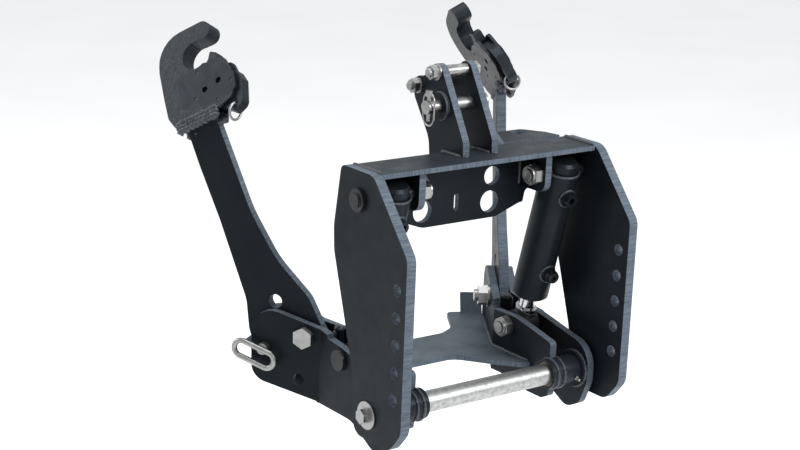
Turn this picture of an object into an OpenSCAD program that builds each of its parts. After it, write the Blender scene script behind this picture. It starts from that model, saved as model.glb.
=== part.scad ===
// Front three-point linkage for a compact tractor: fixed frame, lift frame on a lower shaft,
// two folding lower arms with quick-coupler hooks, and two lift cylinders.
// +X is to the side, +Y forward from the tractor, +Z up. The origin is the middle of the lower shaft.

/* [Fixed frame] */
// Width over the outer faces of the side plates
frame_w = 534; // [520:1:560]
// Thickness of a side plate
side_t = 20; // [16:1:24]
// Height of the frame's top above the lower shaft
frame_top = 437; // [430:1:450]
// Diameter of the mounting bolt holes
mount_hole_d = 22; // [18:1:24]
// Spacing of the mounting bolt holes
mount_pitch = 50; // [40:1:55]
// Diameter of the lower shaft
shaft_d = 40; // [36:1:44]
// Gap between the two tower plates
tower_gap = 52; // [48:1:60]
// Diameter of the top-link pin
top_pin_d = 25.4; // [22:0.1:28]

/* [Lift frame] */
// Thickness of the lift frame plates
rocker_t = 15; // [14:1:15]
// Outward splay of the lower arms
splay = 33; // [32:1:34]
// Distance of the arm pivots from the middle plane
arm_x = 232.5; // [232:0.5:233]
// Distance of the arm pivots in front of the shaft
arm_y = 236.5; // [236:0.5:238]
// Height of the arm pivots above the shaft
arm_z = 78.7; // [78:0.1:80]

/* [Lower arms] */
// Thickness of an arm
arm_t = 20; // [18:1:22]
// Angle by which the arms are folded up
fold = 60.5; // [60:0.5:61]
// Distance of the hooks from the middle plane
hook_x = 482; // [480:1:484]
// Diameter of the lower hitch ball that the hook holds
ball_d = 56; // [54:1:57]

/* [Cylinders] */
// Distance of the cylinders from the middle plane
cyl_x = 197.5; // [197:0.5:198]
// Outer diameter of a barrel
barrel_d = 72; // [70:1:74]
// Bore of a barrel
bore_d = 60; // [56:1:62]
// Diameter of a piston rod
rod_d = 32; // [30:1:34]
// Height of the cylinder top pin above the shaft
cyl_top_z = 385; // [380:1:390]

/* [Hidden] */

$fn = 48;
cut = 1;

coat = [0.10, 0.115, 0.13];
coat_light = [0.30, 0.33, 0.36];
zinc = [0.72, 0.72, 0.70];
black_steel = [0.06, 0.06, 0.07];
chrome = [0.85, 0.86, 0.88];
bronze = [0.62, 0.48, 0.25];

// Fixed frame
side_x = frame_w / 2 - side_t;
mount_y = -74;
mount_z = 52;
mount_rows = 5;
web_y = 97;
plate_t = 10;
web_t = 12;
hole_x = -9;
lug_x = 139.5;
lug_t = 15;
tower_t = 15;
tower_x = tower_gap / 2;
tower_bolt_d = 16;
tower_upper = [131, 578];
tower_lower = [186, 544];
top_pin = [116, 518];
top_pin_out = 76;
linch_x = -68;
end_washer = 3.5;
fit = 0.06;

// Cylinder geometry
cyl_pin_d = 24;
cyl_top = [46, cyl_top_z];
rod_pin = [130, 58.6];
cyl_len = norm(rod_pin - cyl_top);
cyl_tilt = atan2(rod_pin[0] - cyl_top[0], cyl_top[1] - rod_pin[1]);
cap_up = 24;
cap_down = 30;
barrel_end = 266;
gland_len = 42;
piston_len = 30;
eye_d = 56;
eye_w = 42;
eye_play = 6.5;

// Lift frame
inner_x = 167.5;
outer_x = 230;
slot_gap = 23;
leaf = slot_gap / 2 + rocker_t / 2;
hub_d = 58;
bush_d = 48;
nipple_x = 204;
nipple_tilt = 105;
hub_start = 148;
pivot_d = 24;
lock_d = 22;
lock_r = 88;
lock_angle = -22;

// Hook, in the lowered pose
hook_t = 34;
cover_t = 5.5;
hook_back = 604;
seat = [734, 86];
latch_pivot = [643, 75];
lever_pivot = [621, 122];
lever_eye = [603, 154];
front_pin = [695, 85];
cover_rivet = [647, 158];
seat_r = ball_d / 2 + 0.5;
latch_t = 20;

// Points of an outline with rounded corners, from rows of [x, y, radius]
function corner(a, p, b, r, steps) =
    let (
        u = (a - p) / norm(a - p),
        v = (b - p) / norm(b - p),
        half = acos(max(-1, min(1, u * v))) / 2,
        centre = p + (u + v) / norm(u + v) * r / sin(half),
        s = p + u * r / tan(half) - centre,
        e = p + v * r / tan(half) - centre,
        start = atan2(s[1], s[0]),
        turn = atan2(s[0] * e[1] - s[1] * e[0], s * e)
    )
    [for (k = [0 : steps]) centre + r * [cos(start + turn * k / steps), sin(start + turn * k / steps)]];
function flat(row) = [row[0], row[1]];
function rounded(rows, steps = 6) =
    let (n = len(rows))
    [for (i = [0 : n - 1])
        for (p = rows[i][2] > 0
            ? corner(flat(rows[(i + n - 1) % n]), flat(rows[i]), flat(rows[(i + 1) % n]), rows[i][2], steps)
            : [flat(rows[i])])
            p];

// A plate whose outline lies in the YZ plane, from x to x + t
module plate_yz(x, t, rows) {
    translate([x, 0, 0])
        rotate([90, 0, 90])
            linear_extrude(t)
                polygon(rounded(rows));
}

// A round bar along X, at [y, z] in p
module bar_x(p, x, len, d) {
    translate([x, p[0], p[1]])
        rotate([0, 90, 0])
            cylinder(d = d, h = len);
}

// A hexagon along X, at [y, z] in p, with width across flats af
module hex_x(p, x, len, af) {
    translate([x, p[0], p[1]])
        rotate([0, 90, 0])
            cylinder(d = af / cos(30), h = len, $fn = 6);
}

// The children on the right side (1) or mirrored to the left side (-1)
module on_side(side) {
    if (side > 0) children();
    else mirror([1, 0, 0]) children();
}

module both_sides() {
    for (side = [-1, 1]) on_side(side) children();
}

// The arm's own frame: origin at the pivot, Y along the splayed arm, X outward
module splayed() {
    translate([arm_x, arm_y, arm_z])
        rotate([0, 0, -splay])
            children();
}

// Turns what is drawn in the lowered pose up to the folded pose
module folded() {
    splayed()
        rotate([fold, 0, 0])
            rotate([0, 0, splay])
                translate([-arm_x, -arm_y, -arm_z])
                    children();
}

// ---- Fixed frame ----

side_rows = [
    [-100, -6, 34], [-66, -47, 28], [42, -47, 26], [48, 62, 120], [118, 276, 70],
    [121, 322, 90], [103, frame_top, 12], [6, frame_top, 34], [-100, 312, 30]
];

module side_plate() {
    color(coat)
        difference() {
            plate_yz(side_x, side_t, side_rows);
            for (i = [0 : mount_rows - 1])
                bar_x([mount_y, mount_z + i * mount_pitch], side_x - cut, side_t + 2 * cut, mount_hole_d);
            bar_x([0, 0], side_x - cut, side_t + 2 * cut, shaft_d + 2 * fit);
            bar_x(cyl_top, side_x - cut, side_t + 2 * cut, cyl_pin_d + 2 * fit);
        }
}
module side_plate_left() { on_side(-1) side_plate(); }
module side_plate_right() { on_side(1) side_plate(); }

module cross_top_plate() {
    color(coat)
        translate([-side_x, 8, frame_top - 1 - plate_t])
            cube([2 * side_x, web_y - 8, plate_t]);
}

// Half outline of the web, seen from the tractor, from the middle of its top edge
web_half = [
    [side_x, 428, 0], [side_x, 318, 0], [240, 318, 4], [237, 344, 12], [157, 344, 12], [152, 318, 4],
    [142, 317, 40], [86, 297, 50]
];
function mirrored(rows) = [for (i = [len(rows) - 1 : -1 : 0]) [-rows[i][0], rows[i][1], rows[i][2]]];

module web_hole(x, z, d) {
    translate([x, web_y + web_t + cut, z])
        rotate([90, 0, 0])
            cylinder(d = d, h = web_t + 2 * cut);
}

module cross_web_plate() {
    color(coat)
        difference() {
            translate([0, web_y + web_t, 0])
                rotate([90, 0, 0])
                    linear_extrude(web_t)
                        polygon(rounded(concat(web_half, mirrored(web_half))));
            for (side = [-1, 1]) {
                web_hole(hole_x + side * 78.5, 328.5, 42);
                web_hole(hole_x + side * 82, 378, 36);
            }
            translate([hole_x - 5.5, web_y - cut, 325.5])
                cube([11, web_t + 2 * cut, 22]);
            for (z = [325.5, 347.5])
                web_hole(hole_x, z, 11);
        }
}

module cylinder_lugs() {
    lug_rows = [[22, 426, 0], [web_y, 426, 0], [web_y, 352, 0], [22, 352, 20]];
    color(coat)
        both_sides()
            difference() {
                plate_yz(lug_x, lug_t, lug_rows);
                bar_x(cyl_top, lug_x - cut, lug_t + 2 * cut, cyl_pin_d + 2 * fit);
            }
}

tower_rows = [
    [45, 436, 0], [46, 463, 24], [128.5, 606, 20], [160, 573, 12], [172, 562, 10],
    [206, 564, 20], [196, 521, 30], [148, 452, 60], [138, 360, 12], [web_y + web_t, 360, 0],
    [web_y + web_t, 436, 0]
];

module tower_plate() {
    color(coat)
        difference() {
            union() {
                plate_yz(tower_x, tower_t, tower_rows);
                bar_x(top_pin, tower_x + tower_t, 6, 50);
            }
            bar_x(top_pin, tower_x - cut, tower_t + 6 + 2 * cut, top_pin_d + 2 * fit);
            for (p = [tower_upper, tower_lower])
                bar_x(p, tower_x - cut, tower_t + 2 * cut, tower_bolt_d + 2 * fit);
        }
}
module tower_plate_left() { on_side(-1) tower_plate(); }
module tower_plate_right() { on_side(1) tower_plate(); }

module coupler_plate() {
    color(coat)
        difference() {
            translate([0, 0, 424])
                linear_extrude(12)
                    polygon(rounded([
                        [108, web_y + web_t, 0], [side_x, web_y + web_t, 0], [240, 142, 16],
                        [212, 185, 16], [152, 185, 6]
                    ]));
            translate([188, 165, 423])
                cylinder(d = 26, h = 14);
        }
}

module tower_bolts() {
    head = tower_x + tower_t;
    color(zinc)
        for (p = [tower_upper, tower_lower]) {
            bar_x(p, -head - 22, 2 * head + 22, tower_bolt_d);
            hex_x(p, head, 10, 24);
        }
}

module tower_nuts() {
    head = tower_x + tower_t;
    color(zinc)
        for (p = [tower_upper, tower_lower])
            difference() {
                union() {
                    hex_x(p, -head - 16, 13, 24);
                    bar_x(p, -head - 3, 3, 30);
                }
                bar_x(p, -head - 17, 18, tower_bolt_d + 2 * fit);
            }
}

module tower_spacers() {
    color(zinc)
        for (p = [tower_upper, tower_lower])
            difference() {
                bar_x(p, -tower_x, tower_gap, 22);
                bar_x(p, -tower_x - cut, tower_gap + 2 * cut, tower_bolt_d + 2 * fit);
            }
}

module top_link_pin() {
    color(zinc)
        difference() {
            union() {
                bar_x(top_pin, -top_pin_out, top_pin_out + tower_x + tower_t + 8, top_pin_d);
                bar_x(top_pin, tower_x + tower_t + 7, 9, 38);
            }
            translate([linch_x, top_pin[0], top_pin[1] - 20])
                cylinder(d = 8 + 2 * fit, h = 40);
        }
}

module linch_pin() {
    color(zinc)
        translate([linch_x, top_pin[0], top_pin[1]]) {
            translate([0, 0, -26])
                cylinder(d = 8, h = 46);
            translate([0, 0, 20])
                cylinder(d = 14, h = 11);
            translate([0, 0, -4])
                rotate([90, 0, 0])
                    oval_ring(28, 16, 3.5);
        }
}

module pivot_shaft() {
    color(zinc)
        difference() {
            bar_x([0, 0], -frame_w / 2, frame_w, shaft_d);
            for (side = [-1, 1])
                bar_x([0, 0], side > 0 ? frame_w / 2 - 40 : -frame_w / 2 - cut, 40 + cut, 16 + 2 * fit);
        }
}

module shaft_end_washers() {
    color(zinc)
        both_sides()
            difference() {
                bar_x([0, 0], frame_w / 2, end_washer, 52);
                bar_x([0, 0], frame_w / 2 - cut, end_washer + 2 * cut, 16 + 2 * fit);
            }
}

module shaft_end_bolts() {
    color(zinc)
        both_sides() {
            bar_x([0, 0], frame_w / 2 - 36, 36 + end_washer, 16);
            bar_x([0, 0], frame_w / 2 + end_washer, 2.5, 28);
            hex_x([0, 0], frame_w / 2 + end_washer + 2.5, 10, 24);
        }
}

module cylinder_top_pins() {
    outside = frame_w / 2;
    color(black_steel)
        both_sides() {
            bar_x(cyl_top, lug_x - 24, outside - lug_x + 24, cyl_pin_d);
            bar_x(cyl_top, outside, 7, 42);
            bar_x(cyl_top, outside + 7, 4, 26);
        }
}

// A self-locking nut that closes towards the middle plane, its seat at x
module lock_nut(p, x, af, d, len) {
    difference() {
        union() {
            hex_x(p, x - len, len, af);
            bar_x(p, x - len - 5, 5, af - 3);
        }
        bar_x(p, x - len - 6, len + 7, d + 2 * fit);
    }
}

module cylinder_top_nuts() {
    color(zinc)
        both_sides()
            lock_nut(cyl_top, lug_x, 36, cyl_pin_d, 17);
}

// ---- Lift frame ----

// Where a leaf at side distance x meets the splayed leaf at offset n from the arm's middle plane
function bend_y(x, n) = arm_y + (x - arm_x) / tan(splay) - n / sin(splay);
function bend_u(x, n) = (x - arm_x - n * cos(splay)) / sin(splay);

// Plan of a bent leaf, as a strip of the plate's thickness
module leaf_plan(x, n) {
    y = bend_y(x, n);
    h = rocker_t / 2;
    m = h * tan(splay / 2);
    reach = 420;
    far = [x + reach * sin(splay), y + reach * cos(splay)];
    side = h * [cos(splay), -sin(splay)];
    polygon([[x - h, -160], [x + h, -160], [x + h, y - m], far + side, far - side, [x - h, y + m]]);
}

module bent_leaf(x, n, rear, front) {
    intersection() {
        union() {
            plate_yz(x - 40, 80, rear);
            splayed() plate_yz(n - 60, 120, front);
        }
        translate([0, 0, -130])
            linear_extrude(280)
                leaf_plan(x, n);
    }
}

front_top = [110, 53, 44];
front_low = [109, -96, 34];

module leaf_bores(n) {
    splayed() {
        bar_x([0, 0], n - 20, 40, pivot_d + 2 * fit);
        for (a = [lock_angle, lock_angle - fold])
            bar_x(lock_r * [cos(a), sin(a)], n - 20, 40, lock_d + 1);
    }
    bar_x(rod_pin, 140, 120, 24 + 2 * fit);
}

module rocker_outer_plate() {
    y = bend_y(outer_x, leaf);
    u = bend_u(outer_x, leaf);
    color(coat)
        difference() {
            bent_leaf(outer_x, leaf, [
                [-39.5, -18, 60], [-39.5, 50, 50], [126, 82.5, 0], [172, 87, 0], [175, 94, 0],
                [y + 2, 98, 0], [y + 2, -47, 0], [90, -47, 60], [16, -85, 30], [-20, -66, 24]
            ], [
                [u - 2, 18, 0], front_top, front_low, [u - 2, -125, 0]
            ]);
            leaf_bores(leaf);
            bar_x([0, 0], 200, 60, shaft_d + 2 * fit + 1);
        }
}
module rocker_outer_plate_left() { on_side(-1) rocker_outer_plate(); }
module rocker_outer_plate_right() { on_side(1) rocker_outer_plate(); }

module rocker_inner_plate() {
    y = bend_y(inner_x, -leaf);
    u = bend_u(inner_x, -leaf);
    color(coat)
        difference() {
            bent_leaf(inner_x, -leaf, [
                [1, 60, 8], [16, 63, 0], [64, 73, 80], [113, 82, 80], [y + 2, 80, 0],
                [y + 2, -44, 0], [96, -44, 60], [66, -56, 12], [20, -56, 14], [1, -46, 10]
            ], [
                [u - 2, 2, 0], [-69, -3, 0], [-67, 14, 0], front_top, front_low, [u - 2, -124, 0]
            ]);
            leaf_bores(-leaf);
            bar_x([0, 0], 140, 50, hub_d + 0.2);
        }
}
module rocker_inner_plate_left() { on_side(-1) rocker_inner_plate(); }
module rocker_inner_plate_right() { on_side(1) rocker_inner_plate(); }

// Half outline of the cross plate, seen from above
cross_half = [
    [268, 358, 0], [210, 386, 12], [158, 302, 60], [118, 283, 40], [0, 283, 0],
    [0, 168, 0], [58, 168, 40], [100, 112, 60], [150, 56, 30], [200, 56, 0]
];

module rocker_cross_plate() {
    half = rounded(cross_half);
    top = 5;
    color(coat_light)
        difference() {
            union() {
                translate([0, 0, top - plate_t])
                    linear_extrude(plate_t)
                        union() {
                            polygon(half);
                            mirror([1, 0, 0]) polygon(half);
                        }
                both_sides()
                    splayed()
                        translate([-leaf - 52, 116, top - arm_z - plate_t + 1])
                            rotate([50, 0, 0])
                                cube([46, 50, plate_t]);
            }
            both_sides() {
                translate([0, 0, -60])
                    linear_extrude(160)
                        leaf_outside();
            }
        }
}

// Everything outside the inner face of the inner leaf, seen from above
module leaf_outside() {
    y = bend_y(inner_x, -leaf);
    h = rocker_t / 2;
    far = [inner_x + 420 * sin(splay), y + 420 * cos(splay)] - h * [cos(splay), -sin(splay)];
    polygon([[inner_x - h, -160], [inner_x - h, y + h * tan(splay / 2)], far, [600, far[1]], [600, -160]]);
}

module rocker_webs() {
    color(coat)
        both_sides()
            splayed()
                translate([-slot_gap / 2, -64, -60])
                    cube([slot_gap, 10, 79]);
}

module hub_tube() {
    end = outer_x - rocker_t / 2;
    color(coat)
        difference() {
            union() {
                bar_x([0, 0], hub_start, 28, hub_d);
                bar_x([0, 0], hub_start + 30, end - hub_start - 30, hub_d);
                bar_x([0, 0], hub_start + 27, 4, hub_d - 4);
                bar_x([0, 0], end - 7, 7, 70);
            }
            bar_x([0, 0], hub_start - cut, end - hub_start + 2 * cut, bush_d);
            translate([nipple_x, 0, 0])
                rotate([nipple_tilt, 0, 0])
                    cylinder(d = 6, h = 60);
        }
}
module hub_tube_left() { on_side(-1) hub_tube(); }
module hub_tube_right() { on_side(1) hub_tube(); }

module hub_bushes() {
    end = outer_x - rocker_t / 2;
    color(bronze)
        both_sides()
            difference() {
                bar_x([0, 0], hub_start + 2, end - hub_start - 2, bush_d);
                bar_x([0, 0], hub_start, end - hub_start + 2, shaft_d + 2 * fit);
            }
}

module grease_nipples() {
    color(zinc)
        both_sides()
            translate([nipple_x, 0, 0])
                rotate([nipple_tilt, 0, 0]) {
                    translate([0, 0, 24.5])
                        cylinder(d = 5.8, h = 6);
                    translate([0, 0, 29.1])
                        cylinder(d = 9, h = 3, $fn = 6);
                    translate([0, 0, 32])
                        cylinder(d1 = 5, d2 = 3.4, h = 5);
                    translate([0, 0, 38.5])
                        sphere(d = 5.6, $fn = 24);
                }
}

module arm_pivot_bolts() {
    outside = leaf + rocker_t / 2;
    color(zinc)
        both_sides()
            splayed() {
                bar_x([0, 0], -outside - 31, 2 * outside + 31, pivot_d);
                hex_x([0, 0], outside, 15, 36);
            }
}

module arm_pivot_nuts() {
    outside = leaf + rocker_t / 2;
    color(zinc)
        both_sides()
            splayed()
                difference() {
                    union() {
                        bar_x([0, 0], -outside - 4, 4, 44);
                        hex_x([0, 0], -outside - 23, 19, 36);
                    }
                    bar_x([0, 0], -outside - 24, 25, pivot_d + 2 * fit);
                }
}

module rod_pins() {
    outside = outer_x + rocker_t / 2;
    inside = inner_x - rocker_t / 2;
    color(black_steel)
        both_sides() {
            bar_x(rod_pin, inside - 24, outside - inside + 24, 24);
            bar_x(rod_pin, outside, 8, 40);
        }
}

module rod_pin_nuts() {
    color(zinc)
        both_sides()
            lock_nut(rod_pin, inner_x - rocker_t / 2, 36, 24, 17);
}

// ---- Lower arms ----

arm_rows = [
    [-41, 31, 38], [-43, -44, 60], [-11, -123, 34], [55, -110, 40], [107, -88, 80],
    [264, -65, 200], [371, -54, 200], [480, -39, 0], [480, 27, 0], [394, 17, 200],
    [253, 2, 240], [153, 7, 200], [63, 34, 60]
];

module lower_arm() {
    color(coat)
        folded()
            difference() {
                splayed()
                    difference() {
                        plate_yz(-arm_t / 2, arm_t, arm_rows);
                        bar_x([0, 0], -20, 40, pivot_d + 2 * fit);
                        for (a = [lock_angle, lock_angle - fold])
                            bar_x(lock_r * [cos(a), sin(a)], -20, 40, lock_d + 4);
                    }
                translate([hook_x - 200, hook_back, -100])
                    cube([400, 200, 300]);
            }
}
module lower_arm_left() { on_side(-1) lower_arm(); }
module lower_arm_right() { on_side(1) lower_arm(); }

hook_rows = [
    [hook_back, 21, 0], [628, 8, 30], [676, 4, 80], [732, 1, 60], [798, 7, 56], [798, 127, 20],
    [760, 127, 16], [762.5, 79, 0], [734, 86, 0], [706, 93, 0], [704, 149, 16], [664, 161, 20],
    [614, 159, 20], [hook_back, 121, 10]
];
cover_rows = [
    [632, 43, 6], [706, 36, 6], [702, 79, 4], [711, 93, 6], [702, 131, 12], [680, 153, 14],
    [660, 166, 10], [628, 166, 10], [614, 127, 8]
];
pocket_rows = [
    [634, 23, 14], [699, 23, 14], [699, 74, 4], [722, 90, 0], [764, 119, 0], [764, 209, 0],
    [574, 209, 0], [574, 127, 0], [620, 105, 10]
];

module hook_body() {
    color(coat)
        folded()
            difference() {
                plate_yz(hook_x - hook_t / 2, hook_t, hook_rows);
                bar_x(seat, hook_x - hook_t, 2 * hook_t, 2 * seat_r);
                plate_yz(hook_x - latch_t / 2 - 1, latch_t + 2, pocket_rows);
                for (x = [hook_x - hook_t / 2 - cut, hook_x + hook_t / 2 - cover_t])
                    plate_yz(x, cover_t + cut, cover_rows);
                for (p = [latch_pivot, lever_pivot, front_pin, cover_rivet])
                    bar_x(p, hook_x - 30, 60, 6 + 2 * fit);
            }
}
module hook_left() { on_side(-1) hook_body(); }
module hook_right() { on_side(1) hook_body(); }

module hook_covers() {
    color(coat)
        folded()
            difference() {
                for (x = [hook_x - hook_t / 2, hook_x + hook_t / 2 - cover_t])
                    plate_yz(x, cover_t, cover_rows);
                for (p = [latch_pivot, lever_pivot, front_pin, cover_rivet])
                    bar_x(p, hook_x - 30, 60, 6 + 2 * fit);
                for (p = [[659, 130], [653, 98]])
                    bar_x(p, hook_x - 30, 60, 12);
                bar_x(seat, hook_x - hook_t, 2 * hook_t, 2 * seat_r);
            }
}
module hook_covers_left() { on_side(-1) hook_covers(); }
module hook_covers_right() { on_side(1) hook_covers(); }

module hook_pins() {
    color(black_steel)
        folded() {
            for (p = [latch_pivot, lever_pivot])
                bar_x(p, hook_x - hook_t / 2 + 1, hook_t - 2, 6);
            for (p = [front_pin, cover_rivet])
                for (x = [hook_x - hook_t / 2 + 1, hook_x + latch_t / 2 + 1.2])
                    bar_x(p, x, hook_t / 2 - latch_t / 2 - 2.2, 6);
        }
}
module hook_pins_left() { on_side(-1) hook_pins(); }
module hook_pins_right() { on_side(1) hook_pins(); }

module latch() {
    color(coat_light)
        folded()
            difference() {
                plate_yz(hook_x - latch_t / 2, latch_t, [
                    [632, 67, 9], [654, 63, 9], [690, 84, 20], [703, 92, 3], [708, 101, 0],
                    [717, 110, 0], [731, 116, 2], [722, 131, 4], [700, 128, 10], [664, 114, 14],
                    [634, 91, 10]
                ]);
                bar_x(latch_pivot, hook_x - 30, 60, 6 + 2 * fit);
            }
}
module latch_left() { on_side(-1) latch(); }
module latch_right() { on_side(1) latch(); }

module release_lever() {
    color(coat)
        folded()
            difference() {
                plate_yz(hook_x - latch_t / 2, latch_t, [
                    [612, 115, 8], [632, 115, 8], [656, 131, 10], [696, 132, 4], [684, 147, 4],
                    [664, 170, 6], [644, 178, 12], [596, 172, 14], [586, 150, 14], [598, 136, 12]
                ]);
                bar_x(lever_pivot, hook_x - 30, 60, 6 + 2 * fit);
                bar_x(lever_eye, hook_x - 30, 60, 17);
            }
}
module release_lever_left() { on_side(-1) release_lever(); }
module release_lever_right() { on_side(1) release_lever(); }

// Ring for the pull cord, through the lever's eye
module pull_ring() {
    color(zinc)
        folded()
            translate([hook_x, lever_eye[0], lever_eye[1]])
                rotate([30, 0, 0])
                    translate([0, -14.2, 0])
                        rotate_extrude()
                            translate([16, 0])
                                circle(d = 5);
}
module pull_ring_left() { on_side(-1) pull_ring(); }
module pull_ring_right() { on_side(1) pull_ring(); }

// Points of a coil spring along Z: centre radius r, wire w, a number of turns, and length h
module coil(r, w, turns, h) {
    sides = 8;
    per_turn = 14;
    rings = turns * per_turn;
    pts = [
        for (i = [0 : rings])
            for (k = [0 : sides - 1])
                let (a = 360 * i / per_turn, b = 360 * k / sides, q = r + w / 2 * cos(b))
                [q * cos(a), q * sin(a), h * i / rings + w / 2 * sin(b)]
    ];
    walls = [
        for (i = [0 : rings - 1])
            for (k = [0 : sides - 1])
                let (n = (k + 1) % sides)
                [i * sides + k, (i + 1) * sides + k, (i + 1) * sides + n, i * sides + n]
    ];
    first = [for (k = [0 : sides - 1]) k];
    last = [for (k = [sides - 1 : -1 : 0]) rings * sides + k];
    polyhedron(points = pts, faces = concat([first], walls, [last]));
}

module latch_spring() {
    color(zinc)
        folded()
            translate([hook_x, 666, 31])
                rotate([-8, 0, 0])
                    coil(6, 1.8, 6, 30);
}
module latch_spring_left() { on_side(-1) latch_spring(); }
module latch_spring_right() { on_side(1) latch_spring(); }

// Pin with an oval ring handle welded to its outer end
module lock_pin() {
    outside = leaf + rocker_t / 2;
    at = lock_r * [cos(lock_angle), sin(lock_angle)];
    color(zinc)
        splayed() {
            bar_x(at, arm_t / 2 + 0.6, outside - arm_t / 2 + 13, lock_d);
            translate([outside + 17, at[0] + 14, at[1] - 11])
                rotate([17, 0, 0])
                    oval_ring(53, 15.5, 11);
        }
}
module lock_pin_left() { on_side(-1) lock_pin(); }
module lock_pin_right() { on_side(1) lock_pin(); }

// A link of round bar in the YZ plane, w between the end centres, r the bend radius
module oval_ring(w, r, d) {
    for (side = [-1, 1]) {
        translate([0, -w / 2, side * r])
            rotate([-90, 0, 0])
                cylinder(d = d, h = w);
        translate([0, side * w / 2, 0])
            rotate([0, 90, 0])
                rotate([0, 0, side > 0 ? 0 : 180])
                    rotate_extrude(angle = 180)
                        translate([r, 0])
                            circle(d = d);
    }
}

// ---- Cylinders ----

// The cylinder's frame: origin on the top pin, +Z down along the rod
module cylinder_frame() {
    translate([cyl_x, cyl_top[0], cyl_top[1]])
        rotate([180 + cyl_tilt, 0, 0])
            children();
}

port_upper = 42;
port_lower = 206;
port_out = 50;

// A port boss on the tractor side of the barrel, at s along it
module port(s, d, from, to) {
    translate([0, 0, s])
        rotate([-90, 0, 0])
            translate([0, 0, from])
                cylinder(d = d, h = to - from);
}

module cylinder_barrel() {
    color(coat)
        cylinder_frame()
            difference() {
                union() {
                    cylinder(d = barrel_d, h = barrel_end);
                    translate([0, 0, -2])
                        cylinder(d = barrel_d - 3, h = 4);
                    translate([0, 0, -18])
                        cylinder(d = barrel_d - 10, h = 18);
                    translate([0, 0, -cap_up])
                        cylinder(d1 = barrel_d - 20, d2 = barrel_d - 10, h = 6);
                    for (s = [port_upper, port_lower]) {
                        port(s, 32, barrel_d / 2 - 5, barrel_d / 2 + 3);
                        port(s, 26, barrel_d / 2, port_out);
                    }
                }
                translate([0, 0, cap_down])
                    cylinder(d = bore_d, h = barrel_end);
                for (s = [port_upper, port_lower])
                    port(s, 14, bore_d / 2 - 4, port_out + 1);
                translate([-60, 0, 0])
                    rotate([0, 90, 0])
                        cylinder(d = cyl_pin_d + 2 * fit, h = 120);
            }
}
module cylinder_barrel_left() { on_side(-1) cylinder_barrel(); }
module cylinder_barrel_right() { on_side(1) cylinder_barrel(); }

module cylinder_gland() {
    color(coat)
        cylinder_frame()
            difference() {
                union() {
                    translate([0, 0, barrel_end - gland_len])
                        cylinder(d = bore_d, h = gland_len);
                    translate([0, 0, barrel_end])
                        cylinder(d1 = barrel_d - 4, d2 = barrel_d - 10, h = 5);
                }
                translate([0, 0, barrel_end - gland_len - cut])
                    cylinder(d = rod_d + 2 * fit, h = gland_len + 10);
            }
}
module cylinder_gland_left() { on_side(-1) cylinder_gland(); }
module cylinder_gland_right() { on_side(1) cylinder_gland(); }

// Threaded plug with a hexagon socket in the lower port
module port_plug() {
    color(black_steel)
        cylinder_frame()
            difference() {
                union() {
                    port(port_lower, 14, barrel_d / 2 - 2, port_out);
                    port(port_lower, 22, port_out, port_out + 6);
                }
                translate([0, 0, port_lower])
                    rotate([-90, 0, 0])
                        translate([0, 0, port_out])
                            cylinder(d = 10, h = 8, $fn = 6);
            }
}
module port_plug_left() { on_side(-1) port_plug(); }
module port_plug_right() { on_side(1) port_plug(); }

piston_at = 66;

module piston_rod() {
    color(chrome)
        cylinder_frame()
            difference() {
                union() {
                    translate([0, 0, piston_at])
                        cylinder(d = 22, h = piston_len);
                    translate([0, 0, piston_at + piston_len])
                        cylinder(d = rod_d, h = cyl_len - eye_d / 2 - piston_at - piston_len + 6);
                    translate([0, 0, cyl_len - eye_d / 2 - 10])
                        cylinder(d = 42, h = 16);
                    translate([-eye_w / 2, 0, cyl_len])
                        rotate([0, 90, 0])
                            cylinder(d = eye_d, h = eye_w);
                }
                translate([-40, 0, cyl_len])
                    rotate([0, 90, 0])
                        cylinder(d = 24 + 2 * eye_play, h = 80);
            }
}
module piston_rod_left() { on_side(-1) piston_rod(); }
module piston_rod_right() { on_side(1) piston_rod(); }

module piston() {
    color(black_steel)
        cylinder_frame()
            difference() {
                translate([0, 0, piston_at])
                    cylinder(d = bore_d - 2 * fit, h = piston_len);
                translate([0, 0, piston_at - cut])
                    cylinder(d = 22, h = piston_len + 2 * cut);
                for (s = [8, 19])
                    translate([0, 0, piston_at + s])
                        difference() {
                            cylinder(d = bore_d + 4, h = 4);
                            translate([0, 0, -cut])
                                cylinder(d = bore_d - 8, h = 6);
                        }
            }
}
module piston_left() { on_side(-1) piston(); }
module piston_right() { on_side(1) piston(); }

side_plate_left();
side_plate_right();
cross_top_plate();
cross_web_plate();
cylinder_lugs();
tower_plate_left();
tower_plate_right();
coupler_plate();
tower_bolts();
tower_nuts();
tower_spacers();
top_link_pin();
linch_pin();
pivot_shaft();
shaft_end_washers();
shaft_end_bolts();
cylinder_top_pins();
cylinder_top_nuts();
rocker_inner_plate_left();
rocker_inner_plate_right();
rocker_outer_plate_left();
rocker_outer_plate_right();
rocker_cross_plate();
rocker_webs();
hub_tube_left();
hub_tube_right();
hub_bushes();
grease_nipples();
arm_pivot_bolts();
arm_pivot_nuts();
rod_pins();
rod_pin_nuts();
lower_arm_left();
lower_arm_right();
hook_left();
hook_right();
hook_covers_left();
hook_covers_right();
hook_pins_left();
hook_pins_right();
latch_left();
latch_right();
release_lever_left();
release_lever_right();
pull_ring_left();
pull_ring_right();
latch_spring_left();
latch_spring_right();
lock_pin_left();
lock_pin_right();
cylinder_barrel_left();
cylinder_barrel_right();
cylinder_gland_left();
cylinder_gland_right();
port_plug_left();
port_plug_right();
piston_rod_left();
piston_rod_right();
piston_left();
piston_right();
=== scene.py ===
"""Looks of the front three-point linkage: coats, metals, welds, threads, studio and camera.

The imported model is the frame. Lengths are in metres unless a name or a comment says millimetres.
+X is to the right seen from the tractor, +Y forward and +Z up.
"""

import itertools
import math

import bpy
from mathutils import Matrix, Vector, noise


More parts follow.
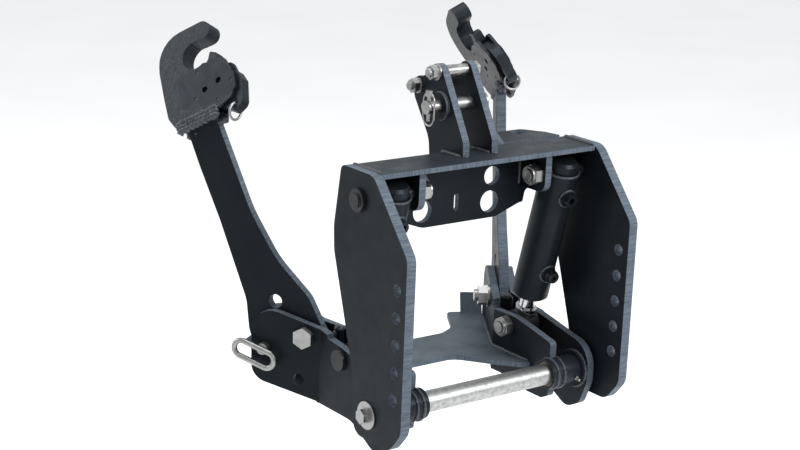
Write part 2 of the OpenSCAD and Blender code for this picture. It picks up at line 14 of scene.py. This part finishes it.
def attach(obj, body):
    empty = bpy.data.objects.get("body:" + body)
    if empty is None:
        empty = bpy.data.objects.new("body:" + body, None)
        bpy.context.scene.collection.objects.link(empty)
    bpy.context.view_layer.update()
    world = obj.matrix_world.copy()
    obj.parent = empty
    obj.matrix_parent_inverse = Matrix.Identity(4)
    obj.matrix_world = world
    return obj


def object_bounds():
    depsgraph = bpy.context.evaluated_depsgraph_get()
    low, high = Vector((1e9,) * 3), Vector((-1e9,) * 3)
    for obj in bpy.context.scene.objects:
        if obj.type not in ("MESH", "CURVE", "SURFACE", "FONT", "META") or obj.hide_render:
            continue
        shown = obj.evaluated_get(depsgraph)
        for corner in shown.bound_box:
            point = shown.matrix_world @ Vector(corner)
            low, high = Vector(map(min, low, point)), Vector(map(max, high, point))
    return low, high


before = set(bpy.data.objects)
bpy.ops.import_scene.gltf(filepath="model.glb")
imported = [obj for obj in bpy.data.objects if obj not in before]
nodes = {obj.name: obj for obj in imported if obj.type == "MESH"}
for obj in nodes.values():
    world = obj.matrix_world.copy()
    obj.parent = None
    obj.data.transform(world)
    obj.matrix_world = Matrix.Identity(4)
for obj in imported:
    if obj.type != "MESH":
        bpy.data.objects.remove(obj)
cad_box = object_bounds()
MM = 0.001
SIDES = {"left": -1, "right": 1}

# ---- Sizes of the part that the added pieces need ----

SPLAY = math.radians(33)
PIVOT = Vector((232.5, 236.5, 78.7)) * MM
FOLD = math.radians(60.5)
CYL_TOP = Vector((0, 46, 385)) * MM
ROD_PIN = Vector((0, 130, 58.6)) * MM
ROD_EYE_R = 36 * MM
CYL_X = 197.5 * MM
HOOK_X = 482 * MM


def mirrored(v, k):
    """v on the right side (k = 1) or mirrored to the left side (k = -1)."""
    return Vector((v[0] * k, v[1], v[2]))


def at(x, y, z, k=1):
    """Point of the frame, in millimetres."""
    return Vector((x * k * MM, y * MM, z * MM))


def splayed(n, u, z, k=1):
    """Point of the fork's own frame, in millimetres: n outward, u along the arm, z up from the pivot."""
    out = Vector((math.cos(SPLAY), -math.sin(SPLAY), 0))
    along = Vector((math.sin(SPLAY), math.cos(SPLAY), 0))
    return mirrored(PIVOT + (out * n + along * u + Vector((0, 0, z))) * MM, k)


def folded(p, k=1):
    """A point of the lowered pose, in metres on the right side, turned up to the folded pose."""
    axis = Vector((math.cos(SPLAY), -math.sin(SPLAY), 0))
    turned = PIVOT + Matrix.Rotation(FOLD, 3, axis) @ (Vector(p) - PIVOT)
    return mirrored(turned, k)


def hook_point(x, y, z, k=1):
    """Point of the folded hook, x from its middle plane, y and z as in the lowered pose, in millimetres."""
    return folded(Vector((HOOK_X + x * MM, y * MM, z * MM)), k)


def cylinder_axis():
    down = ROD_PIN - CYL_TOP
    return down.normalized()


def cylinder_point(k, s, y=0.0):
    """Point of a cylinder's frame, in millimetres: s down along the rod, y toward the tractor."""
    down = cylinder_axis()
    back = Vector((0, down.z, -down.y))
    return mirrored(CYL_TOP + (down * s + back * y) * MM + Vector((CYL_X, 0, 0)), k)


# ---- Node materials ----

class Net:
    """Short way to wire a material's nodes."""

    def __init__(self, name):
        self.mat = bpy.data.materials.new(name)
        self.mat.use_nodes = True
        self.tree = self.mat.node_tree
        self.shader = self.tree.nodes["Principled BSDF"]
        self.coords = self.add("ShaderNodeTexCoord")

    def add(self, kind, **props):
        node = self.tree.nodes.new(kind)
        for key, value in props.items():
            setattr(node, key, value)
        return node

    def put(self, socket, value):
        if isinstance(value, bpy.types.NodeSocket):
            self.tree.links.new(value, socket)
        else:
            socket.default_value = value

    def math(self, operation, *values):
        node = self.add("ShaderNodeMath", operation=operation)
        for k, value in enumerate(values):
            self.put(node.inputs[k], value)
        return node.outputs[0]

    def vmath(self, operation, *values, out=0):
        node = self.add("ShaderNodeVectorMath", operation=operation)
        for k, value in enumerate(values):
            self.put(node.inputs[k], value)
        return node.outputs[out]

    def scaled(self, vector, scale):
        node = self.add("ShaderNodeVectorMath", operation="SCALE")
        self.put(node.inputs[0], vector)
        self.put(node.inputs["Scale"], scale)
        return node.outputs[0]

    def noise(self, scale, detail=3.0, rough=0.5, vector=None, distortion=0.0):
        node = self.add("ShaderNodeTexNoise")
        self.put(node.inputs["Vector"], vector or self.coords.outputs["Object"])
        self.put(node.inputs["Scale"], scale)
        self.put(node.inputs["Detail"], detail)
        self.put(node.inputs["Roughness"], rough)
        self.put(node.inputs["Distortion"], distortion)
        return node.outputs["Fac"]

    def fade(self, fac, low, high, start=0.0, end=1.0):
        node = self.add("ShaderNodeMapRange", clamp=True)
        self.put(node.inputs["Value"], fac)
        self.put(node.inputs["From Min"], low)
        self.put(node.inputs["From Max"], high)
        self.put(node.inputs["To Min"], start)
        self.put(node.inputs["To Max"], end)
        return node.outputs["Result"]

    def mix(self, fac, a, b):
        node = self.add("ShaderNodeMix", data_type="RGBA")
        self.put(node.inputs["Factor"], fac)
        self.put(node.inputs["A"], a if isinstance(a, bpy.types.NodeSocket) else (*a, 1.0))
        self.put(node.inputs["B"], b if isinstance(b, bpy.types.NodeSocket) else (*b, 1.0))
        return node.outputs["Result"]

    def bump(self, height, strength, distance, normal=None):
        node = self.add("ShaderNodeBump")
        self.put(node.inputs["Height"], height)
        self.put(node.inputs["Strength"], strength)
        self.put(node.inputs["Distance"], distance)
        if normal is not None:
            self.put(node.inputs["Normal"], normal)
        return node.outputs["Normal"]

    def finish(self, **sockets):
        for key, value in sockets.items():
            name = key.replace("_", " ").title().replace("Ior", "IOR")
            if isinstance(value, tuple):
                value = (*value, 1.0)
            self.put(self.shader.inputs[name], value)
        return self.mat


FACE = (0.0045, 0.0058, 0.0076)
FACE_LIGHT = (0.0072, 0.0090, 0.0115)
COAT_SHEEN = (0.72, 0.86, 1.0)
# Painted highlight: the plates' cut edges are coloured lighter, as if lit, banded darker and lighter along
# the cut striations.
EDGE_PAINTED_HIGHLIGHT = (0.052, 0.066, 0.084)
EDGE_PAINTED_HIGHLIGHT_BRIGHT = (0.118, 0.142, 0.172)


def coat_material(name, axis=None, face=FACE, face_light=FACE_LIGHT, rough=0.42):
    """Satin powder coat.

    With an axis across the plate, the plate's cut edges carry a painted highlight, lighter than the faces
    as if lit, and are ridged by the cut.
    """
    n = Net(name)
    cloud = n.noise(9.0, 4.0, 0.55)
    colour = n.mix(n.fade(cloud, 0.35, 0.7), face, face_light)
    peel = n.noise(900.0, 2.0, 0.5)
    wave = n.noise(120.0, 2.0, 0.5)
    normal = n.bump(wave, 0.10, 0.0010)
    normal = n.bump(peel, 0.10, 0.00012, normal)
    roughness = n.fade(n.noise(40.0, 3.0), 0.3, 0.7, rough - 0.05, rough + 0.07)
    if axis is not None:
        where = n.coords.outputs["Object"]
        along = n.vmath("DOT_PRODUCT", where, axis, out=1)
        across = n.vmath("SUBTRACT", where, n.scaled(axis, n.math("MULTIPLY", along, 0.93)))
        cuts = n.noise(420.0, 3.0, 0.65, across, 0.4)
        facing = n.math("ABSOLUTE", n.vmath("DOT_PRODUCT", n.coords.outputs["Normal"], axis, out=1))
        edge = n.fade(facing, 0.75, 0.45)
        # Painted highlight: the cut edges take the lighter edge colour.
        lit = n.mix(n.fade(cuts, 0.35, 0.68), EDGE_PAINTED_HIGHLIGHT, EDGE_PAINTED_HIGHLIGHT_BRIGHT)
        colour = n.mix(edge, colour, lit)
        normal = n.bump(n.math("MULTIPLY", cuts, edge), 0.75, 0.0011, normal)
        roughness = n.math("ADD", roughness, n.math("MULTIPLY", edge, 0.06))
    return n.finish(
        base_color=colour, roughness=roughness, normal=normal, metallic=0.0,
        specular_ior_level=0.14, specular_tint=COAT_SHEEN)


def forged_material(name):
    n = Net(name)
    dents = n.noise(55.0, 4.0, 0.6)
    pits = n.noise(260.0, 3.0, 0.6)
    colour = n.mix(n.fade(dents, 0.35, 0.7), (0.0050, 0.0064, 0.0082), (0.0105, 0.0130, 0.0162))
    normal = n.bump(dents, 0.55, 0.0022)
    normal = n.bump(pits, 0.35, 0.0005, normal)
    return n.finish(
        base_color=colour, roughness=n.fade(pits, 0.3, 0.7, 0.36, 0.50), normal=normal, metallic=0.0,
        specular_ior_level=0.24, specular_tint=COAT_SHEEN)


def weld_material(name):
    n = Net(name)
    lumps = n.noise(330.0, 3.0, 0.6)
    colour = n.mix(n.fade(lumps, 0.35, 0.7), (0.020, 0.024, 0.030), (0.052, 0.062, 0.075))
    return n.finish(
        base_color=colour, roughness=0.40, normal=n.bump(lumps, 0.5, 0.0006), metallic=0.0,
        specular_ior_level=0.4)


def zinc_material(name, tone=0.34, rough=0.34):
    n = Net(name)
    mottle = n.noise(70.0, 4.0, 0.6)
    scratch = n.noise(520.0, 3.0, 0.6)
    dark = (tone * 0.80, tone * 0.80, tone * 0.79)
    light = (tone * 1.12, tone * 1.12, tone * 1.10)
    colour = n.mix(n.fade(mottle, 0.32, 0.68), dark, light)
    normal = n.bump(scratch, 0.14, 0.00012, n.bump(mottle, 0.18, 0.0004))
    roughness = n.fade(mottle, 0.3, 0.7, rough - 0.06, rough + 0.12)
    return n.finish(base_color=colour, roughness=roughness, normal=normal, metallic=1.0)


def galvanised_material(name):
    """Bright bar with spangle and faint drawing lines along X."""
    n = Net(name)
    where = n.coords.outputs["Object"]
    drawn = n.noise(160.0, 4.0, 0.65, n.vmath("MULTIPLY", where, (0.35, 1.0, 1.0)))
    cells = n.add("ShaderNodeTexVoronoi")
    n.put(cells.inputs["Vector"], where)
    n.put(cells.inputs["Scale"], 120.0)
    spangle = n.fade(cells.outputs["Distance"], 0.0, 0.8)
    mottle = n.math("ADD", n.math("MULTIPLY", drawn, 0.7), n.math("MULTIPLY", spangle, 0.3))
    colour = n.mix(n.fade(mottle, 0.32, 0.66), (0.27, 0.275, 0.28), (0.44, 0.44, 0.435))
    normal = n.bump(mottle, 0.10, 0.0003)
    roughness = n.fade(mottle, 0.3, 0.7, 0.50, 0.38)
    return n.finish(base_color=colour, roughness=roughness, normal=normal, metallic=1.0)


def rod_material(name):
    """Hard chrome rod whose eye end is dark."""
    n = Net(name)
    fine = n.noise(300.0, 2.0, 0.5)
    flat = n.vmath("MULTIPLY", n.coords.outputs["Object"], (0.0, 1.0, 1.0))
    away = n.vmath("DISTANCE", flat, tuple(ROD_PIN), out=1)
    bright = n.fade(away, ROD_EYE_R, ROD_EYE_R + 1.5 * MM)
    colour = n.mix(n.fade(fine, 0.3, 0.7), (0.42, 0.42, 0.43), (0.55, 0.55, 0.56))
    colour = n.mix(bright, (0.010, 0.012, 0.015), colour)
    roughness = n.fade(bright, 0.0, 1.0, 0.42, 0.16)
    normal = n.bump(fine, 0.05, 0.0001)
    return n.finish(base_color=colour, roughness=roughness, normal=normal, metallic=bright)


def black_material(name):
    n = Net(name)
    grain = n.noise(240.0, 3.0, 0.55)
    colour = n.mix(n.fade(grain, 0.35, 0.7), (0.012, 0.012, 0.013), (0.035, 0.036, 0.039))
    roughness = n.fade(grain, 0.3, 0.7, 0.32, 0.48)
    return n.finish(base_color=colour, roughness=roughness, normal=n.bump(grain, 0.2, 0.0003), metallic=0.6)


def bronze_material(name):
    n = Net(name)
    grain = n.noise(180.0, 3.0, 0.55)
    colour = n.mix(n.fade(grain, 0.35, 0.7), (0.085, 0.070, 0.048), (0.150, 0.122, 0.082))
    return n.finish(base_color=colour, roughness=0.36, normal=n.bump(grain, 0.1, 0.0002), metallic=1.0)


ALONG_X = (1.0, 0.0, 0.0)
ALONG_Y = (0.0, 1.0, 0.0)
ALONG_Z = (0.0, 0.0, 1.0)
OUT_RIGHT = (math.cos(SPLAY), -math.sin(SPLAY), 0.0)
OUT_LEFT = (-math.cos(SPLAY), -math.sin(SPLAY), 0.0)

side_coat = coat_material("coat_side_plate", ALONG_X)
web_coat = coat_material("coat_web", ALONG_Y)
# Painted highlight: the flat-lying top, coupler and cross plates get lighter copies of the same black coat,
# as if lit from above, the cross plate lightest.
top_plate_coat_painted_highlight = coat_material("coat_top_plate_painted_highlight", ALONG_Z, (0.014, 0.0175, 0.022), (0.024, 0.030, 0.037))
cross_plate_coat_painted_highlight = coat_material("coat_cross_plate_painted_highlight", ALONG_Z, (0.046, 0.057, 0.070), (0.088, 0.105, 0.126), 0.40)
plain_coat = coat_material("coat_plain")
cover_coat = coat_material("coat_cover", None, (0.0062, 0.0078, 0.0100), (0.0100, 0.0125, 0.0155), 0.34)
barrel_coat = coat_material("coat_barrel", None, (0.0065, 0.0080, 0.0100), (0.0105, 0.0130, 0.0160), 0.36)
hub_coat = coat_material("coat_hub", None, (0.0080, 0.0100, 0.0125), (0.0130, 0.0160, 0.0200), 0.34)
fork_coat = {
    "left": coat_material("coat_fork_left", OUT_LEFT),
    "right": coat_material("coat_fork_right", OUT_RIGHT),
}
forged_coat = forged_material("coat_forged")
weld_coat = weld_material("coat_weld")
zinc = zinc_material("zinc_bright")
zinc_ring = zinc_material("zinc_ring", 0.32, 0.36)
galvanised = galvanised_material("galvanised_bar")
rod_finish = rod_material("rod_chrome_and_eye")
black_steel = black_material("black_steel")
bronze = bronze_material("bearing_bronze")


def node_material(name):
    """The material of a node: the first row whose words its name starts with, or else zinc."""
    side = "left" if name.endswith("left") else "right"
    table = [
        ("side_plate", side_coat),
        ("tower_plate", side_coat),
        ("cylinder_lugs", side_coat),
        ("cross_top_plate", top_plate_coat_painted_highlight),
        ("coupler_plate", top_plate_coat_painted_highlight),
        ("cross_web_plate", web_coat),
        ("rocker_cross_plate", cross_plate_coat_painted_highlight),
        ("rocker_inner_plate", fork_coat[side]),
        ("rocker_outer_plate", fork_coat[side]),
        ("rocker_webs", plain_coat),
        ("lower_arm", fork_coat[side]),
        ("hub_tube", hub_coat),
        ("hub_bushes", bronze),
        ("hook_pins", black_steel),
        ("hook_covers", cover_coat),
        ("hook", forged_coat),
        ("latch_spring", zinc),
        ("latch", forged_coat),
        ("release_lever", forged_coat),
        ("cylinder_barrel", barrel_coat),
        ("cylinder_gland", barrel_coat),
        ("port_plug", black_steel),
        ("piston_rod", rod_finish),
        ("piston", black_steel),
        ("cylinder_top_pins", black_steel),
        ("rod_pins", black_steel),
        ("pivot_shaft", galvanised),
        ("pull_ring", zinc_ring),
        ("lock_pin", zinc_ring),
    ]
    return next((material for start, material in table if name.startswith(start)), zinc)


# Width of the rounded edges by the start of a node's name, in millimetres
BEVEL = {
    "side_plate": 1.4,
    "tower_plate": 1.2,
    "cross_top_plate": 1.0,
    "cross_web_plate": 1.0,
    "coupler_plate": 1.0,
    "cylinder_lugs": 1.0,
    "rocker": 1.3,
    "lower_arm": 1.5,
    "hook_covers": 1.3,
    "hook_pins": 0.4,
    "hook": 2.6,
    "latch_spring": 0.0,
    "latch": 1.6,
    "release_lever": 2.2,
    "cylinder_barrel": 1.2,
    "cylinder_gland": 0.8,
    "port_plug": 0.8,
    "piston_rod": 0.8,
    "pivot_shaft": 0.8,
    "hub_tube": 1.2,
    "lock_pin": 0.9,
    "pull_ring": 0.0,
}
OTHER_BEVEL = 0.7


def round_edges(node, width):
    """Rounds a node's sharp edges by a width in millimetres."""
    weld = node.modifiers.new("Weld", "WELD")
    weld.merge_threshold = 0.02 * MM
    flat = node.modifiers.new("Flat faces", "DECIMATE")
    flat.decimate_type = "DISSOLVE"
    flat.angle_limit = math.radians(0.5)
    bevel = node.modifiers.new("Bevel", "BEVEL")
    bevel.width = width * MM
    bevel.segments = 3
    bevel.limit_method = "ANGLE"
    bevel.angle_limit = math.radians(32)
    bevel.miter_outer = "MITER_ARC"
    smooth = node.modifiers.new("Even shading", "WEIGHTED_NORMAL")
    smooth.keep_sharp = True
    smooth.weight = 100


for name, node in nodes.items():
    material = node_material(name)
    if not node.material_slots:
        node.data.materials.append(material)
    for slot in node.material_slots:
        slot.material = material
    width = next((w for start, w in BEVEL.items() if name.startswith(start)), OTHER_BEVEL)
    if width > 0:
        round_edges(node, width)


# ---- Added pieces ----

def piece(name, verts, faces, material, body, smooth=True):
    """A new piece that rides on a body."""
    mesh = bpy.data.meshes.new(name)
    mesh.from_pydata([tuple(v) for v in verts], [], faces)
    mesh.validate()
    mesh.update()
    if smooth:
        for polygon in mesh.polygons:
            polygon.use_smooth = True
    obj = bpy.data.objects.new(name, mesh)
    bpy.context.scene.collection.objects.link(obj)
    obj.data.materials.append(material)
    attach(obj, body)
    return obj


def basis(axis):
    """The axis and two directions across it, all of length 1."""
    axis = Vector(axis).normalized()
    helper = Vector((0, 0, 1)) if abs(axis.z) < 0.9 else Vector((1, 0, 0))
    u = axis.cross(helper).normalized()
    return axis, u, axis.cross(u)


RIPPLE_STEP = 0.0022
RING_POINTS = 40
BEAD_SIDES = 12


def tube_mesh(path, radius, ripple, seed, closed):
    """Verts and faces of a rippled tube along a path: a weld bead when half sunk into its corner."""
    verts, faces = [], []
    sides = BEAD_SIDES
    count = len(path)
    for i, p in enumerate(path):
        before = path[(i - 1) % count if closed else max(i - 1, 0)]
        after = path[(i + 1) % count if closed else min(i + 1, count - 1)]
        _, u, v = basis(after - before)
        end = 1.0
        if not closed:
            end = min(1.0, (min(i, count - 1 - i) + 0.25) / 2.0)
        for k in range(sides):
            angle = 2 * math.pi * k / sides
            wobble = noise.noise(Vector((seed * 7.3, i * 0.55, math.cos(angle) * 0.8))) * ripple
            scallop = 1.0 + 0.10 * math.cos(i * math.pi * 0.66)
            r = radius * end * (scallop + wobble)
            verts.append(p + (u * math.cos(angle) + v * math.sin(angle)) * r)
    rings = count if closed else count - 1
    for i in range(rings):
        for k in range(sides):
            a, b = i * sides + k, i * sides + (k + 1) % sides
            c, d = ((i + 1) % count) * sides + (k + 1) % sides, ((i + 1) % count) * sides + k
            faces.append((a, b, c, d))
    if not closed:
        faces.append(tuple(range(sides - 1, -1, -1)))
        faces.append(tuple((count - 1) * sides + k for k in range(sides)))
    return verts, faces


def along(points, closed):
    """Points spaced by about one ripple step along a polyline."""
    out = []
    for a, b in zip(points, points[1:] + (points[:1] if closed else [])):
        count = max(1, int((b - a).length / RIPPLE_STEP))
        out += [a.lerp(b, k / count) for k in range(count)]
    if not closed:
        out.append(points[-1])
    return out


bead_seeds = itertools.count(1)


def beads(name, lines, radius, body, ripple=0.22):
    """One piece of several weld beads, each along a polyline in metres. A line of many points is a ring."""
    verts, faces = [], []
    for line in lines:
        closed = len(line) >= RING_POINTS
        v, f = tube_mesh(along(line, closed), radius, ripple, next(bead_seeds), closed)
        shift = len(verts)
        verts += v
        faces += [tuple(i + shift for i in face) for face in f]
    return piece(name, verts, faces, weld_coat, body)


def circle(centre, axis, radius, steps):
    """Points on a circle around an axis."""
    axis, u, v = basis(axis)
    angles = [2 * math.pi * k / steps for k in range(steps)]
    return [centre + (u * math.cos(angle) + v * math.sin(angle)) * radius for angle in angles]


def lathe(name, centre, axis, profile, material, body, sides=40, ring=False):
    """A turned piece: rows of (distance along the axis, radius) in millimetres.

    A ring's last row joins its first, and a solid piece is closed at both ends.
    """
    axis, u, v = basis(axis)
    verts, faces = [], []
    for s, r in profile:
        for k in range(sides):
            angle = 2 * math.pi * k / sides
            outward = u * math.cos(angle) + v * math.sin(angle)
            verts.append(centre + (axis * s + outward * r) * MM)
    for i in range(len(profile) if ring else len(profile) - 1):
        for k in range(sides):
            after = (i + 1) % len(profile) * sides
            a, b = i * sides + k, i * sides + (k + 1) % sides
            faces.append((a, b, after + (k + 1) % sides, after + k))
    if not ring:
        faces.append(tuple(range(sides - 1, -1, -1)))
        faces.append(tuple((len(profile) - 1) * sides + k for k in range(sides)))
    piece(name, verts, faces, material, body, smooth=False)


def thread_profile(radius, start, end, pitch=2.5, depth=0.9):
    """Rows of a thread's crests and roots between two distances, with a chamfered tip at the end."""
    crest = radius + 0.12
    rows = []
    s = start
    while s < end - 1.6:
        rows += [(s, crest), (s + pitch * 0.5, radius - depth)]
        s += pitch
    rows += [(end - 1.2, crest), (end + 0.1, radius - 1.3)]
    return rows


def build_threads():
    """Threads on the visible bolt ends: each sleeve lies over the plain CAD shank."""
    pin_thread = thread_profile(12.0, 16.0, 24.2)
    pivot_thread = thread_profile(12.0, 20.0, 31.2, 3.0, 1.1)
    tower_thread = thread_profile(8.0, 14.5, 22.2, 2.0, 0.8)
    for side, k in SIDES.items():
        inward = Vector((-k, 0, 0))
        top, rod = at(139.5, 46, 385, k), at(160, 130, 58.6, k)
        lathe(f"thread_top_pin_{side}", top, inward, pin_thread, zinc, "base_frame")
        lathe(f"thread_rod_pin_{side}", rod, inward, pin_thread, zinc, "lift_frame")
        seat = splayed(-26.5, 0, 0, k)
        axis = splayed(-27.5, 0, 0, k) - seat
        lathe(f"thread_pivot_{side}", seat, axis, pivot_thread, zinc, "lift_frame")
    for label, y, z in (("upper", 131, 578), ("lower", 186, 544)):
        seat = at(-41, y, z)
        lathe(f"thread_tower_{label}", seat, (-1, 0, 0), tower_thread, zinc, "base_frame")


def build_frame_welds():
    """Seams of the top plate, web, lugs, tower plates and coupler plate."""
    for side, k in SIDES.items():
        beads(f"weld_top_plate_{side}", [
            [at(246.5, 12, 425.5, k), at(246.5, 94, 425.5, k)],
            [at(246.5, 12, 436.4, k), at(246.5, 96, 436.4, k)],
            [at(246.5, 109.5, 322, k), at(246.5, 109.5, 424, k)],
            [at(246.5, 96.5, 345, k), at(246.5, 96.5, 424, k)],
        ], 3.8 * MM, "base_frame")
        lug_faces = (139.3, 154.7)
        beads(f"weld_lug_{side}", [
            *([at(x, 26, 425.4, k), at(x, 94, 425.4, k)] for x in lug_faces),
            *([at(x, 96.4, 354, k), at(x, 96.4, 422, k)] for x in lug_faces),
        ], 3.4 * MM, "base_frame")
        beads(f"weld_tower_{side}", [
            [at(41.2, 48, 436.3, k), at(41.2, 108, 436.3, k)],
            [at(25.8, 48, 436.3, k), at(25.8, 108, 436.3, k)],
            [at(41.2, 109.4, 364, k), at(41.2, 109.4, 434, k)],
            [at(26, 44.8, 436.2, k), at(41, 44.8, 436.2, k)],
        ], 4.0 * MM, "base_frame")
        boss = circle(at(41.0, 116, 518, k), (1, 0, 0), 25.2 * MM, 60)
        beads(f"weld_tower_boss_{side}", [boss], 2.2 * MM, "base_frame")
    beads("weld_web_top", [
        [at(-244, 97.2, 428.5), at(-44, 97.2, 428.5)],
        [at(44, 97.2, 428.5), at(244, 97.2, 428.5)],
    ], 5.2 * MM, "base_frame")
    coupler_seam = [at(112, 109.4, 423.5), at(243, 109.4, 423.5)]
    beads("weld_coupler_plate", [coupler_seam], 3.4 * MM, "base_frame")


def build_lift_welds():
    """Seams of the hubs, fork ends and cross plate."""
    for side, k in SIDES.items():
        beads(f"weld_hub_{side}", [
            circle(at(222.3, 0, 0, k), (1, 0, 0), 35.2 * MM, 70),
            circle(at(159.8, 0, 0, k), (1, 0, 0), 29.2 * MM, 60),
            circle(at(175.2, 0, 0, k), (1, 0, 0), 29.2 * MM, 60),
        ], 3.0 * MM, "lift_frame")
        beads(f"weld_fork_{side}", [
            [splayed(n, -53.6, 19.2, k) for n in (-11, 0, 11)],
            [splayed(n, -64.4, 19.0, k) for n in (-11, 0, 11)],
            [splayed(n, -70.6, -1.0, k) for n in (-26, -19, -12)],
            [splayed(n, -66.0, 13.0, k) for n in (-26, -19, -12)],
            [splayed(-11.6, -53.6, -58, k), splayed(-11.6, -53.6, 17, k)],
            [splayed(11.6, -53.6, -58, k), splayed(11.6, -53.6, 17, k)],
        ], 4.0 * MM, "lift_frame", 0.4)
        beads(f"weld_cross_plate_{side}", [
            [
                at(159.7, 62, z, k), at(159.7, 168, z, k),
                splayed(-26.8, -76, z_fork, k), splayed(-26.8, end, z_fork, k),
            ]
            for z, z_fork, end in ((5.4, -73.3, 98), (-5.4, -84.1, 92))
        ], 3.8 * MM, "lift_frame")


def build_arm_welds():
    """Heavy butt welds, several runs deep, where each arm meets its hook."""
    for side, k in SIDES.items():
        lines = []
        for run, y in enumerate((594, 601, 608)):
            lines.append([hook_point(14.5 + 1.2 * run, y - 1, z, k) for z in range(22, 122, 11)])
            lines.append([hook_point(-14.5 - 1.2 * run, y, z, k) for z in range(22, 122, 11)])
        beads(f"weld_hook_{side}", lines, 6.6 * MM, f"arm_{side}", 0.5)


def port_ring(k, s):
    """Ring around a port, s down the barrel, that follows the barrel's round wall."""
    barrel_r = 36 * MM
    port_r = 16.4 * MM
    base = cylinder_point(k, s, 36.5)
    axis = basis(cylinder_point(k, s, 37.5) - base)[0]
    ring = []
    for point in circle(base, axis, port_r, 48):
        drop = barrel_r - math.sqrt(barrel_r ** 2 - (point.x - base.x) ** 2)
        ring.append(point - axis * drop)
    return ring


def build_cylinder_details():
    """Seams of the barrels' caps and ports, and the ring where each rod comes out."""
    down = cylinder_axis()
    for side, k in SIDES.items():
        body = f"barrel_body_{side}"
        cap = circle(cylinder_point(k, -1), down, 35.2 * MM, 70)
        beads(f"weld_barrel_cap_{side}", [cap], 2.4 * MM, body, 0.15)
        for s in (42, 206):
            beads(f"weld_port_{s}_{side}", [port_ring(k, s)], 2.8 * MM, body, 0.2)
        wiper = [(4.6, 19.5), (6.4, 19.5), (7.4, 17.6), (7.4, 16.2), (4.6, 16.2)]
        end = cylinder_point(k, 266)
        lathe(f"rod_wiper_{side}", end, down, wiper, black_steel, body, ring=True)


build_threads()
build_frame_welds()
build_lift_welds()
build_arm_welds()
build_cylinder_details()

# ---- Studio ----

# The floor is below the reach of the lowered arms.
FLOOR_Z = -0.56
FLOOR_REACH = 14.0


def floor_material():
    n = Net("floor_pale")
    colour = n.mix(n.fade(n.noise(2.0), 0.3, 0.7), (0.84, 0.84, 0.84), (0.88, 0.88, 0.88))
    return n.finish(
        base_color=colour, roughness=0.9,
        emission_color=(1.0, 1.0, 1.0), emission_strength=0.22)


corners = [(x * FLOOR_REACH, y * FLOOR_REACH, FLOOR_Z) for x, y in ((-1, -1), (1, -1), (1, 1), (-1, 1))]
floor_mesh = bpy.data.meshes.new("floor")
floor_mesh.from_pydata(corners, [], [(0, 1, 2, 3)])
floor = bpy.data.objects.new("floor", floor_mesh)
bpy.context.scene.collection.objects.link(floor)
floor.data.materials.append(floor_material())

world = bpy.data.worlds.new("studio")
bpy.context.scene.world = world
world.use_nodes = True
background = world.node_tree.nodes["Background"]
background.inputs["Color"].default_value = (0.96, 0.98, 1.0, 1.0)
background.inputs["Strength"].default_value = 0.72


low, high = (Vector(v) for v in cad_box)
middle = (low + high) / 2


def area_light(name, place, size, power):
    """A soft box that faces the middle of the part."""
    light = bpy.data.lights.new(name, "AREA")
    light.shape = "RECTANGLE"
    light.size, light.size_y = size
    light.energy = power
    obj = bpy.data.objects.new(name, light)
    bpy.context.scene.collection.objects.link(obj)
    obj.location = place
    obj.rotation_euler = (middle - Vector(place)).to_track_quat("-Z", "Y").to_euler()


area_light("key", (1.6, -3.4, 2.6), (2.2, 1.6), 165)
area_light("top", (0.0, 0.4, 3.2), (2.6, 2.6), 70)
area_light("rim", (-2.6, 2.6, 1.8), (1.6, 1.6), 45)

# ---- Camera ----

CAMERA_AT = (-2.0687, -2.4738, 1.1959)
RIGHT = Vector((0.80516, -0.59185, 0.03775))
UP = Vector((0.12811, 0.23573, 0.96334))
FORWARD = Vector((0.57905, 0.77081, -0.26563))
lens = bpy.data.cameras.new("camera")
lens.sensor_width = 36.0
lens.lens = 82.75
lens.clip_end = 60.0
camera = bpy.data.objects.new("camera", lens)
bpy.context.scene.collection.objects.link(camera)
turn = Matrix((RIGHT, UP, -FORWARD)).transposed()
camera.matrix_world = Matrix.Translation(CAMERA_AT) @ turn.to_4x4()
bpy.context.scene.camera = camera

bpy.context.scene.view_settings.view_transform = "Standard"
